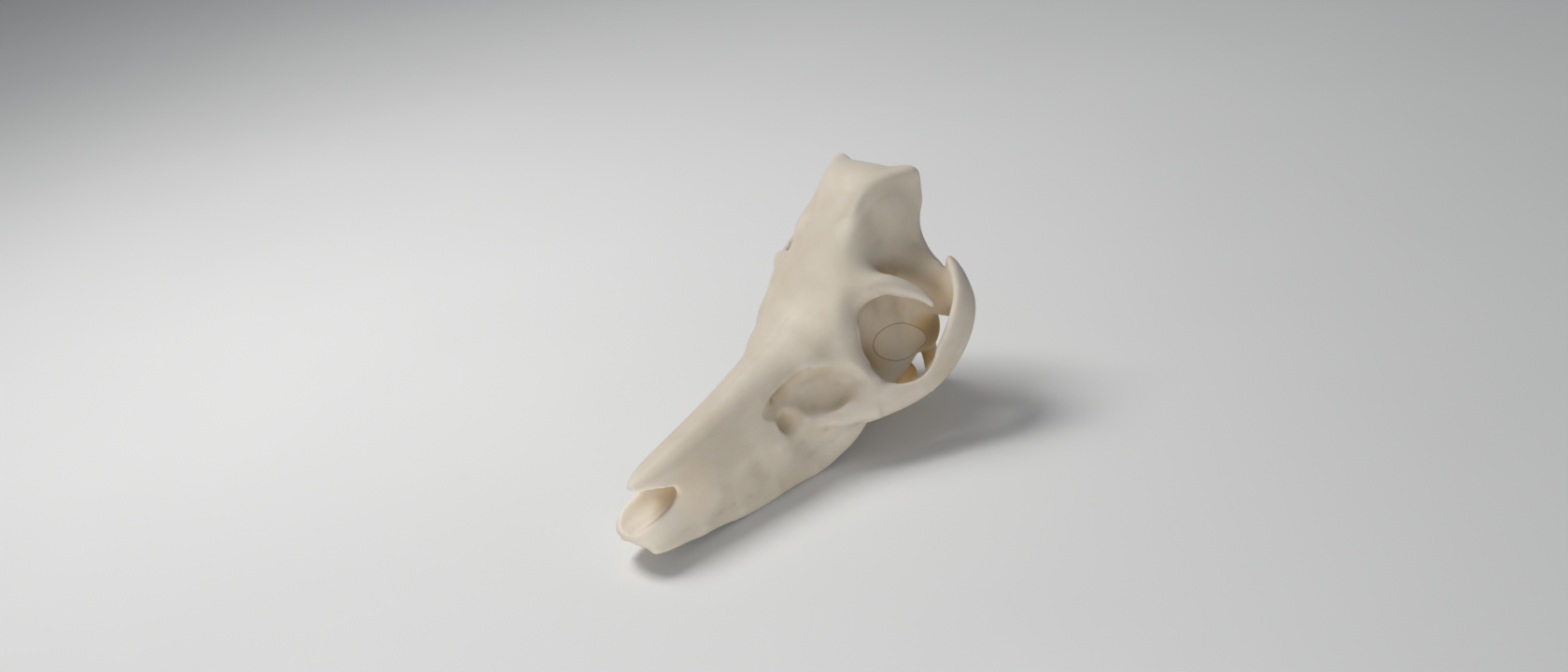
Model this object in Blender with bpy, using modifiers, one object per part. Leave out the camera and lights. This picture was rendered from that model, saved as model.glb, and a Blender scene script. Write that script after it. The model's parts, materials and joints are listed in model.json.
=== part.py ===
"""Pig skull: the cranium of a grown domestic sow, without the lower jaw, lying at rest.

Snout towards -Y, the animal's left towards +X, the surface it lies on at Z = 0. It rests on its
tooth edges in front and on the tips of its two jugular processes behind.
"""

import math

import bmesh
import bpy
import numpy as np
from mathutils import Matrix, Vector

# Driving dimensions: forms are laid out in units of 1/322 of the length from the front of the
# snout to the top of the nuchal crest, with Y along the palate and Z = 0 near the tooth edges
PROFILE_LENGTH = 0.322
UNIT = PROFILE_LENGTH / 322
REST_TILT = 2.7  # degrees, tail end down, from the palate's line to how it lies
REST_LIFT = 6.3  # units, from Z = 0 of the layout up to the tooth edge's flat
REST_SHIFT = 12.1  # units, centres the skull on the origin along Y

CLAY_VOXEL = 2.0 * UNIT  # grain of the joined forms
FINE_VOXEL = 1.8 * UNIT
ROUND_SIDES = 28  # corners of a limb's cross-section
SPAN_STEPS = 6  # sections between two stations
KEPT_SHARE = 0.055  # of the fine surface's triangles
SUTURE = 0.3  # units, the gap between two bones
FAR = 400  # units, beyond everything

BONE_COLOUR = (0.66, 0.60, 0.49, 1)
BONE_ROUGHNESS = 0.6

REST = (Matrix.Translation(Vector((0, REST_SHIFT, REST_LIFT)) * UNIT)
        @ Matrix.Rotation(math.radians(-REST_TILT), 4, "X"))


def clear_scene():
    for obj in list(bpy.data.objects):
        bpy.data.objects.remove(obj)


def new_object(name, mesh, collection):
    obj = bpy.data.objects.new(name, mesh)
    collection.objects.link(obj)
    return obj


def through(points, steps):
    """Smooth line of values through rows of numbers (Catmull-Rom)."""
    rows = np.array(points, float)
    ends = np.vstack([2 * rows[0] - rows[1], rows, 2 * rows[-1] - rows[-2]])
    line = []
    for i in range(1, len(ends) - 2):
        a, b, c, d = ends[i - 1 : i + 3]
        for t in np.arange(steps) / steps:
            bend = (2 * a - 5 * b + 4 * c - d) * t**2 + (3 * b - a - 3 * c + d) * t**3
            line.append(0.5 * (2 * b + (c - a) * t + bend))
    line.append(rows[-1])
    return np.array(line)


def limb(name, stations, collection, up=(0, 0, 1), squareness=2.0):
    """Closed body swept through stations (x, y, z, side, above, below), in layout units."""
    line = through(stations, SPAN_STEPS)
    sizes = np.maximum(line[:, 3:], 0.3)
    centres = line[:, :3]
    tangents = np.gradient(centres, axis=0)
    mesh = bpy.data.meshes.new(name)
    bm = bmesh.new()
    rings = []
    for centre, size, tangent in zip(centres, sizes, tangents):
        forward = Vector(tangent).normalized()
        side = forward.cross(Vector(up)).normalized()
        above = side.cross(forward).normalized()
        ring = []
        for k in range(ROUND_SIDES):
            angle = 2 * math.pi * k / ROUND_SIDES
            c, s = math.cos(angle), math.sin(angle)
            across = math.copysign(abs(c) ** (2 / squareness), c) * size[0]
            tall = math.copysign(abs(s) ** (2 / squareness), s) * (size[1] if s > 0 else size[2])
            ring.append(bm.verts.new((Vector(centre) + side * across + above * tall) * UNIT))
        rings.append(ring)
    for first, second in zip(rings, rings[1:]):
        for k in range(ROUND_SIDES):
            n = (k + 1) % ROUND_SIDES
            bm.faces.new((first[k], first[n], second[n], second[k]))
    bm.faces.new(rings[0][::-1])
    bm.faces.new(rings[-1])
    bmesh.ops.recalc_face_normals(bm, faces=bm.faces)
    bm.to_mesh(mesh)
    bm.free()
    return new_object(name, mesh, collection)


def ball(name, at, radii, collection, turn=(0, 0, 0)):
    mesh = bpy.data.meshes.new(name)
    bm = bmesh.new()
    bmesh.ops.create_uvsphere(bm, u_segments=32, v_segments=20, radius=1)
    place = Matrix.Translation(Vector(at) * UNIT)
    for degrees, axis in zip(reversed(turn), "ZYX"):
        place = place @ Matrix.Rotation(math.radians(degrees), 4, axis)
    place = place @ Matrix.Diagonal((*(Vector(radii) * UNIT), 1))
    bmesh.ops.transform(bm, matrix=place, verts=bm.verts)
    bm.to_mesh(mesh)
    bm.free()
    return new_object(name, mesh, collection)


def prism(name, outline, low, high, collection):
    """Closed body with this (y, z) outline, from x = low to x = high."""
    mesh = bpy.data.meshes.new(name)
    bm = bmesh.new()
    face = bm.faces.new([bm.verts.new(Vector((low, y, z)) * UNIT) for y, z in outline])
    pulled = bmesh.ops.extrude_face_region(bm, geom=[face])["geom"]
    tops = [v for v in pulled if isinstance(v, bmesh.types.BMVert)]
    bmesh.ops.translate(bm, verts=tops, vec=Vector((high - low, 0, 0)) * UNIT)
    bmesh.ops.recalc_face_normals(bm, faces=bm.faces)
    bm.to_mesh(mesh)
    bm.free()
    return new_object(name, mesh, collection)


def mirrored(obj, collection):
    """The right-hand twin of a left-hand object."""
    twin = obj.copy()
    twin.data = obj.data.copy()
    twin.name = obj.name.replace("_left", "") + "_right"
    twin.data.transform(Matrix.Diagonal((-1, 1, 1, 1)))
    twin.data.flip_normals()
    collection.objects.link(twin)
    return twin


def core_forms(add):
    # upper snout: nasal bones over the nose passage, growing into the forehead
    limb("muzzle", [(0, -152, 43, 3, 3, 2), (0, -142, 42, 9, 8, 6), (0, -126, 42, 13, 12, 12),
                    (0, -96, 44, 16, 17, 18), (0, -68, 48, 18, 20, 22), (0, -40, 52, 21, 24, 28),
                    (0, -12, 58, 26, 26, 32), (0, 12, 66, 32, 28, 34), (0, 32, 74, 34, 30, 38),
                    (0, 48, 82, 30, 28, 40)], add, squareness=2.3)
    # palate block that carries the tooth edge
    limb("jaw", [(0, -158.5, 8, 10, 4, 4), (0, -155, 9.5, 16.5, 8, 8), (0, -145, 11, 20, 15, 12),
                 (0, -126, 13, 20, 20, 17), (0, -98, 14, 23, 22, 20), (0, -68, 15, 27, 26, 23),
                 (0, -38, 17, 31, 28, 26), (0, -10, 18, 33, 28, 24), (0, 6, 24, 35, 26, 20),
                 (0, 24, 32, 33, 24, 16), (0, 52, 38, 24, 20, 14)], add, squareness=3)
    # forehead and roof, from between the eyes to the nuchal crest
    limb("roof", [(0, -6, 74, 25, 8, 14), (0, 14, 86, 32, 8, 16), (0, 32, 102, 36, 8, 18),
                  (0, 46, 119, 33, 8, 20), (0, 56, 134, 26, 8, 24), (0, 66, 149, 20, 8, 26),
                  (0, 78, 161, 20, 8, 28), (0, 92, 170, 24, 7, 28), (0, 104, 171, 31, 6, 24),
                  (0, 111, 170, 34, 5, 20)], add, squareness=2.6)
    # braincase
    ball("brain", (0, 82, 88), (32, 40, 50), add)
    # plate of the occiput under the crest
    limb("occiput", [(0, 110, 168, 34, 6, 10), (0, 112, 150, 30, 8, 18), (0, 112, 130, 29, 9, 22),
                     (0, 110, 105, 34, 12, 26), (0, 108, 78, 40, 14, 26), (0, 110, 58, 38, 12, 22),
                     (0, 114, 44, 26, 10, 18)], add, up=(0, 1, 0), squareness=2.6)
    # base of the skull
    limb("base", [(0, 24, 40, 24, 14, 16), (0, 48, 38, 32, 20, 20), (0, 66, 36, 36, 24, 20),
                  (0, 82, 38, 38, 24, 18), (0, 98, 46, 38, 18, 16), (0, 118, 46, 22, 16, 10)],
         add, squareness=2.8)


def paired_forms(add):
    # nuchal crest, a bar that rises to its outer corners and runs down the side
    limb("crest", [(0, 107, 169, 5, 5, 5), (17, 109, 170, 5, 5, 5), (30, 115, 172, 5, 5, 5),
                   (35, 118, 168, 4.5, 4.5, 4.5), (33, 121, 152, 4, 4, 4), (31, 120, 134, 4, 4, 4),
                   (34, 117, 122, 5, 5, 5), (46, 111, 112, 5, 6, 5), (58, 107, 106, 5, 6, 6)],
         add, up=(0, 0.6, 1))
    # temporal line, where the forehead turns down into the temple
    limb("temple", [(34, 60, 118, 6, 5, 8), (29, 59, 126, 5, 5, 8), (23, 58, 137, 5, 4, 8),
                    (19, 66, 151, 4, 4, 8), (18, 76, 161, 4, 4, 8), (21, 88, 169, 4, 4, 8),
                    (26, 101, 173, 5, 4, 8), (33, 114, 171, 5, 4, 6)], add)
    # hollow of the temple, between that line and the crest
    limb("temple_wall", [(9, 54, 126, 20, 8, 16), (11, 65, 139, 18.5, 13, 30),
                         (13, 80, 146, 15.5, 15, 36), (16, 94, 150, 16, 19, 40),
                         (17, 106, 151, 17, 21, 42), (18, 118, 150, 16, 19, 38)], add, squareness=2.7)
    # fill between the braincase, the temple and the horn over the eye
    limb("temple_floor", [(20, 48, 108, 13, 14, 14), (25, 62, 112, 12.5, 15, 15),
                          (27, 78, 116, 7, 13, 13), (29, 94, 118, 5.5, 12, 12),
                          (31, 108, 118, 5, 10, 10)], add)
    # horn over the eye
    limb("brow", [(16, 42, 100, 12, 12, 16), (32, 50, 108, 12, 12, 12),
                  (45, 60, 111, 8.8, 8.2, 8.4), (56, 69, 106, 6.8, 6.2, 6.4),
                  (65, 77, 99, 4.8, 4.2, 4.2), (71, 83, 90, 2.8, 2.8, 2.8)], add)
    # front wall of the orbit: tear bone and cheek bone
    limb("tear", [(24, 38, 102, 13, 13, 13), (29, 28, 86, 15, 13, 13), (33, 25, 70, 14, 12, 12),
                  (42, 27, 54, 13, 10, 11), (53, 31, 44, 12, 9, 10), (60, 37, 42, 7, 8, 8)],
         add, up=(1, -0.3, 0))
    ball("tear_body", (21, 12, 68), (16, 30, 21), add, turn=(0, 0, -14))
    # side of the face above the tooth edge
    limb("flank", [(8, -136, 28, 8.5, 14, 12), (11, -98, 33, 10.5, 22, 18),
                   (13.5, -68, 37, 12, 26, 22), (16, -38, 41, 14, 29, 24),
                   (19, -12, 46, 15.5, 31, 26), (22, 12, 54, 15, 27, 26)],
         add, up=(-0.3, 0, 0.95), squareness=2.3)
    limb("cheek", [(21, -8, 34, 12, 14, 24), (34, 7, 34, 13, 14, 20), (47, 20, 34, 12, 14, 12),
                   (58, 33, 38, 9, 12, 12)], add)
    limb("facial_crest", [(30, -16, 36, 3, 3, 4), (36, -7, 34, 4, 4.5, 4.5),
                          (43, 3, 32.5, 5, 5, 4.5), (51, 13, 33, 5, 5.5, 5), (60, 26, 34, 7, 8, 8)],
         add)
    # zygomatic arch, curling back up to a hook
    limb("arch", [(52, 18, 31, 6, 9, 8), (62, 33, 36, 7, 13, 10), (71, 49, 41, 7, 10.5, 11),
                  (78.5, 64, 49, 6.5, 10, 12), (84, 79, 62, 6, 10, 12), (85, 92, 77, 6, 10.5, 12),
                  (82, 102, 91, 5, 10, 11), (74, 107, 104, 5, 9, 9), (68, 108, 112, 4.5, 6, 7),
                  (65, 108, 118, 2.5, 3, 3)], add, up=(-0.25, -0.45, 0.8))
    # wall from the braincase out to the back of the arch, with the jaw joint under it
    limb("arch_root", [(22, 98, 96, 14, 24, 30), (38, 105, 93, 11, 22, 32),
                       (54, 107, 89, 7, 20, 21.5), (68, 105, 88, 6, 18, 17),
                       (78, 101, 88, 5, 14, 14)], add)
    ball("mastoid", (32.5, 108, 57), (12, 15, 20), add)
    # jugular process, on which the back of the skull rests
    limb("jugular", [(30, 107, 62, 8, 12, 12), (32, 112.5, 46, 6.2, 10, 8),
                     (33.5, 115.5, 32, 5, 8.5, 6.5), (34, 116, 18, 4.3, 7, 5.5),
                     (33.5, 115.5, 6, 3.6, 5.2, 5.5), (32.5, 114, -3, 3, 4, 4)], add, up=(0, 1, 0))
    ball("condyle", (13, 124, 45), (9, 9, 13), add, turn=(0, 25, 0))
    # hollow ear bulge under the braincase
    limb("bulla", [(22, 88, 42, 9, 10, 12), (23, 91.5, 30, 8, 8.5, 12),
                   (25.5, 97.5, 19, 7.6, 9.5, 11), (27, 100, 12, 5.5, 7.5, 8)], add, up=(0, 1, 0))
    # inner wall of the eye socket
    ball("wall", (17, 80, 62), (20, 34, 28), add)
    ball("wall_top", (10, 58, 84), (23, 26, 24), add)
    # plates beside the back of the nose passage
    limb("pterygoid", [(15, 20, 32, 5, 12, 14), (17, 40, 28, 4, 12, 14), (18, 58, 26, 4, 10, 12),
                       (18, 70, 20, 3, 4, 4)], add)
    # tooth edge
    limb("alveolus", [(13, -153, 2, 5, 5, 3), (16, -140, 0, 4, 6, 4), (19, -100, -2, 4, 7, 6),
                      (23, -74, -3, 4.5, 8, 7), (27, -40, -2, 5, 9, 7), (31, -12, -1, 5, 9, 7),
                      (35, 3, 6, 5, 9, 8), (41, 13, 16, 5, 10, 9), (46, 21, 27, 5, 9, 9)], add)


def cut_forms(cut):
    # nose opening, a wedge that reaches out through both sides
    limb("nose_mouth", [(0, -180, 34, 34, 10, 16), (0, -160, 32, 34, 10, 16),
                        (0, -146, 31, 34, 9.5, 10), (0, -134, 32, 34, 7, 7.5),
                        (0, -125, 34, 34, 3, 3)], cut, squareness=2.2)
    limb("nose_passage", [(0, -176, 26, 13, 12, 13), (0, -150, 26, 14, 13, 13),
                          (0, -130, 28, 14, 14, 13), (0, -110, 32, 12, 14, 14),
                          (0, -80, 36, 9, 12, 12)], cut)
    # arched roof of the mouth, so that only the tooth edges touch the surface
    limb("palate_vault", [(0, -150, -15, 6, 12, 4), (0, -120, -15, 11, 14, 4),
                          (0, -70, -17, 16, 15, 4), (0, -20, -17, 19, 16, 4),
                          (0, 20, -14, 20, 20, 4), (0, 44, -8, 14, 22, 4)], cut)
    # back opening of the nose passage
    limb("choanae", [(0, 74, 22, 10, 12, 14), (0, 50, 22, 9, 12, 10), (0, 30, 22, 8, 9, 8),
                     (0, 18, 22, 4, 4, 4)], cut)
    # hole for the spinal cord
    limb("foramen_magnum", [(0, 150, 54, 9, 9, 9), (0, 120, 56, 9, 9, 9), (0, 96, 64, 7, 7, 7)], cut)


def paired_cuts(cut):
    # eye socket
    ball("orbit", (63, 52.5, 75), (25, 26, 31), cut, turn=(0, 0, -30))
    ball("orbit_deep", (58, 68, 70), (22, 28, 24), cut)
    # hollow in front of the eye
    limb("facial_fossa", [(31, -53, 59, 4, 3, 7), (32, -44, 61, 7, 6, 12), (34, -28, 62, 11, 9, 15),
                          (38, -11, 62, 14, 10, 22), (45.5, 4, 61, 15, 10, 22),
                          (52, 14, 57, 13.5, 11, 18), (57, 21, 50, 9, 9, 10)], cut)
    # shallow foramen before it
    ball("infraorbital", (35.5, -33, 45), (8.5, 9.5, 8.5), cut)


def shaped(obj, kind, **settings):
    """Adds a modifier with these settings and applies it."""
    modifier = obj.modifiers.new(kind.lower(), kind)
    for key, value in settings.items():
        setattr(modifier, key, value)
    graph = bpy.context.evaluated_depsgraph_get()
    mesh = bpy.data.meshes.new_from_object(obj.evaluated_get(graph))
    obj.modifiers.clear()
    obj.data = mesh
    return obj


def copied(obj, name, collection):
    twin = obj.copy()
    twin.data = obj.data.copy()
    twin.name = name
    collection.objects.link(twin)
    return twin


def fused(name, collection, target):
    """All the closed forms of a collection as one closed body, and the forms removed."""
    first = collection.objects[0]
    body = copied(first, name, target)
    bpy.data.objects.remove(first)
    shaped(body, "BOOLEAN", operation="UNION", solver="MANIFOLD",
           operand_type="COLLECTION", collection=collection)
    for obj in list(collection.objects):
        bpy.data.objects.remove(obj)
    return body


def keep_largest(obj):
    """Drops every loose scrap but the body with the most faces."""
    bm = bmesh.new()
    bm.from_mesh(obj.data)
    bm.faces.ensure_lookup_table()
    left = set(bm.faces)
    bodies = []
    while left:
        body = {left.pop()}
        edge = list(body)
        while edge:
            near = {n for f in edge for e in f.edges for n in e.link_faces} - body
            body |= near
            edge = list(near)
        left -= body
        bodies.append(body)
    bodies.sort(key=len)
    scraps = [f for body in bodies[:-1] for f in body]
    bmesh.ops.delete(bm, geom=scraps, context="FACES")
    bm.to_mesh(obj.data)
    bm.free()


def whole_skull(work, add, cut):
    """The skull in one piece, with its openings cut and its surface reduced."""
    for forms, paired, collection in ((core_forms, paired_forms, add), (cut_forms, paired_cuts, cut)):
        forms(collection)
        middle = set(collection.objects)
        paired(collection)
        for obj in [o for o in collection.objects if o not in middle]:
            mirrored(obj, collection)
    body = fused("skull", add, work)
    shaped(body, "REMESH", mode="VOXEL", voxel_size=CLAY_VOXEL)
    shaped(body, "SMOOTH", factor=0.5, iterations=8)
    hollow = fused("hollow", cut, work)
    shaped(hollow, "REMESH", mode="VOXEL", voxel_size=CLAY_VOXEL)
    shaped(hollow, "SMOOTH", factor=0.5, iterations=3)
    shaped(body, "BOOLEAN", operation="DIFFERENCE", solver="MANIFOLD", object=hollow)
    bpy.data.objects.remove(hollow)
    shaped(body, "REMESH", mode="VOXEL", voxel_size=FINE_VOXEL)
    shaped(body, "SMOOTH", factor=0.5, iterations=6)
    keep_largest(body)
    shaped(body, "DECIMATE", ratio=KEPT_SHARE, use_collapse_triangulate=True)
    shaped(body, "MIRROR", use_axis=(True, False, False), use_bisect_axis=(True, False, False),
           merge_threshold=0.000001, bisect_threshold=0.000001)
    body.data.transform(REST)
    ground = prism("ground", [(-FAR, -FAR), (FAR, -FAR), (FAR, 0), (-FAR, 0)], -FAR, FAR, work)
    shaped(body, "BOOLEAN", operation="DIFFERENCE", solver="MANIFOLD", object=ground)
    bpy.data.objects.remove(ground)
    return body


# Where the sutures run on the left side: each bone's (y, z) outline and its range of x
BONES = {
    "nasal": ([(-200, 38), (-124, 36), (-60, 57), (0, 78), (8, 84), (8, 200), (-200, 200)],
              SUTURE / 2, 15),
    "incisive": ([(-200, -60), (-112, -60), (-106, 10), (-112, 60), (-200, 60)],
                 SUTURE / 2, FAR),
    "zygomatic": ([(-10, -20), (60, 0), (83, 30), (83, 100), (60, 84), (36, 66), (22, 56), (-10, 46)],
                  43, FAR),
    "temporal": ([(83, 30), (96, 50), (104, 66), (140, 70), (140, 140), (83, 140)], 36, FAR),
    "frontal": ([(-14, 76), (12, 70), (34, 72), (50, 86), (62, 90), (92, 86), (92, 122), (62, 132),
                 (62, 200), (-14, 200)], SUTURE / 2, FAR),
    "maxilla": ([(-120, -60), (34, -60), (34, 120), (-120, 120)], SUTURE / 2, FAR),
}


def grown(outline, distance):
    """The outline with each side moved outwards by this distance."""
    points = [Vector(p) for p in outline]
    moved = []
    for before, here, after in zip(points[-1:] + points[:-1], points, points[1:] + points[:1]):
        into = (here - before).normalized()
        out = (after - here).normalized()
        first = Vector((into.y, -into.x))
        second = Vector((out.y, -out.x))
        corner = (first + second).normalized()
        moved.append(here + corner * distance / corner.dot(first))
    return moved


def part_bones(body, work, skull):
    """Parts the skull along its sutures into named bones."""
    for bone, (outline, low, high) in BONES.items():
        region = prism("region", grown(outline, -SUTURE / 2), low, high, work)
        region.data.transform(REST)
        piece = copied(body, bone + "_left", skull)
        shaped(piece, "BOOLEAN", operation="INTERSECT", solver="MANIFOLD", object=region)
        bpy.data.objects.remove(region)
        keep_largest(piece)
        mirrored(piece, skull)
        inner = low - SUTURE if low > SUTURE else -FAR
        for name in ("near", "far"):
            region = prism(name, grown(outline, SUTURE / 2), inner, high + SUTURE, work)
            region.data.transform(REST)
            if name == "far":
                region.data.transform(Matrix.Diagonal((-1, 1, 1, 1)))
                region.data.flip_normals()
            shaped(body, "BOOLEAN", operation="DIFFERENCE", solver="MANIFOLD", object=region)
            bpy.data.objects.remove(region)
    keep_largest(body)
    body.name = "braincase"
    skull.objects.link(body)
    work.objects.unlink(body)


def bone_material(name):
    material = bpy.data.materials.new(name)
    material.use_nodes = True
    shader = material.node_tree.nodes["Principled BSDF"]
    shader.inputs["Base Color"].default_value = BONE_COLOUR
    shader.inputs["Roughness"].default_value = BONE_ROUGHNESS
    return material


def build():
    clear_scene()
    collections = []
    for name in ("pig_skull", "work", "forms", "cutters"):
        collection = bpy.data.collections.new(name)
        bpy.context.scene.collection.children.link(collection)
        collections.append(collection)
    skull, work, add, cut = collections
    body = whole_skull(work, add, cut)
    part_bones(body, work, skull)
    for obj in skull.objects:
        obj.data.materials.clear()
        obj.data.materials.append(bone_material(obj.name))
        obj.data.shade_smooth()
        obj.data.set_sharp_from_angle(angle=math.radians(50))


build()
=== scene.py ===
# A pig's skull without its lower jaw, lying on a pale table as a museum model.
# Clay forms are joined into one seamless skin, hollowed, sculpted and tinted; the tint paints shade into
# hollows and creases, highlights onto ridges, glow where bone is thin and light inside the nose.

import json
import math

import bmesh
import bpy
import numpy as np
from mathutils import Matrix, Vector
from mathutils.bvhtree import BVHTree
from mathutils.kdtree import KDTree

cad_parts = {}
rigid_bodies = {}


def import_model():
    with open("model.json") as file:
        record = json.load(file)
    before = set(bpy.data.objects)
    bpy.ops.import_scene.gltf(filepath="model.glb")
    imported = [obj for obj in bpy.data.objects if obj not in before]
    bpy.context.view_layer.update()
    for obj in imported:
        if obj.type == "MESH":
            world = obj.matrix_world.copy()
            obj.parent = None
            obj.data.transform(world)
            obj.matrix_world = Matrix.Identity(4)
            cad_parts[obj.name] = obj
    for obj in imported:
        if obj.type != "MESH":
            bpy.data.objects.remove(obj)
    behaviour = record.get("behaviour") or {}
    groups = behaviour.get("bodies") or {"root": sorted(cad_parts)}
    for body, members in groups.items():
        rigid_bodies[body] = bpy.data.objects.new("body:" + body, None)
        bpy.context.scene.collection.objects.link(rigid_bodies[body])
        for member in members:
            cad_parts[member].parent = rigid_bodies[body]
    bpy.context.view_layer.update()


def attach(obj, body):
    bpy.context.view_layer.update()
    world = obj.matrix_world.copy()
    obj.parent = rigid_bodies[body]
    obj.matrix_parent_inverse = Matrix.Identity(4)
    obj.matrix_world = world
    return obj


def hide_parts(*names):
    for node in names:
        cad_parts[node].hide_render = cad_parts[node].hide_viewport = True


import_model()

# Sizes of the forms are in millimetres, with y along the palate and z = 0 near the tooth edges
millimetre = 0.001
resting = {"tilt": 2.7, "lift": 6.3, "shift": 12.1}  # degrees, then how the layout sits on the table
toTable = (Matrix.Scale(millimetre, 4) @ Matrix.Translation((0, resting["shift"], resting["lift"]))
           @ Matrix.Rotation(math.radians(-resting["tilt"]), 4, "X"))

skinSettings = {
    "clayVoxel": 1.5,  # grain of the joined forms
    "clayRounds": 14,  # rounds of smoothing before the hollows are cut
    "hollowRounds": 4,
    "skinVoxel": 1.1,  # grain of the finished skin
    "skinRounds": 7,
    "smoothing": 0.5,  # how much one round evens out
    "mostTriangles": 190000,
    "sides": 36,  # corners of a limb's cross-section
    "spanSteps": 7,  # sections between two stations
    "ballSides": 44,
    "ballRings": 28,
    "pathSteps": 8,  # parts of a brush path between two of its points
}

# Clay forms on the middle plane: stations are (x, y, z, side, above, below)
middleForms = {
    # upper snout: nasal bones over the nose passage, growing into the forehead
    "muzzle": {"squareness": 2.3, "stations": [
        (0, -152, 43, 3, 3, 2), (0, -142, 42, 9, 8, 6), (0, -126, 42, 13, 12, 12),
        (0, -96, 44, 16, 17, 18), (0, -68, 48, 18, 20, 22), (0, -40, 52, 21, 24, 28),
        (0, -12, 58, 26, 26, 32), (0, 12, 66, 32, 28, 34), (0, 32, 74, 34, 30, 38),
        (0, 48, 82, 30, 28, 40)]},
    # palate block that carries the tooth edge
    "jaw": {"squareness": 3, "stations": [
        (0, -158.5, 8, 10, 4, 4), (0, -155, 9.5, 16.5, 8, 8), (0, -145, 11, 20, 15, 12),
        (0, -126, 13, 20, 20, 17), (0, -98, 14, 23, 22, 20), (0, -68, 15, 27, 26, 23),
        (0, -38, 17, 31, 28, 26), (0, -10, 18, 33, 28, 24), (0, 6, 24, 35, 26, 20),
        (0, 24, 32, 33, 24, 16), (0, 52, 38, 24, 20, 14)]},
    # forehead and roof, from between the eyes to the nuchal crest
    "roof": {"squareness": 2.6, "stations": [
        (0, -6, 74, 25, 8, 14), (0, 14, 86, 32, 8, 16), (0, 32, 102, 36, 8, 18),
        (0, 46, 119, 33, 8, 20), (0, 56, 134, 26, 8, 24), (0, 66, 149, 20, 8, 26),
        (0, 78, 161, 20, 8, 28), (0, 92, 170, 24, 7, 28), (0, 104, 171, 31, 6, 24),
        (0, 111, 170, 34, 5, 20)]},
    # braincase
    "brain": {"centre": (0, 82, 88), "radii": (32, 40, 50)},
    # plate of the occiput under the crest
    "occiput": {"up": (0, 1, 0), "squareness": 2.6, "stations": [
        (0, 110, 168, 34, 6, 10), (0, 112, 150, 30, 8, 18), (0, 112, 130, 29, 9, 22),
        (0, 110, 105, 34, 12, 26), (0, 108, 78, 40, 14, 26), (0, 110, 58, 38, 12, 22),
        (0, 114, 44, 26, 10, 18)]},
    # base of the skull
    "base": {"squareness": 2.8, "stations": [
        (0, 24, 40, 24, 14, 16), (0, 48, 38, 32, 20, 20), (0, 66, 36, 36, 24, 20),
        (0, 82, 38, 38, 24, 18), (0, 98, 46, 38, 18, 16), (0, 118, 46, 22, 16, 10)]},
}

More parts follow.
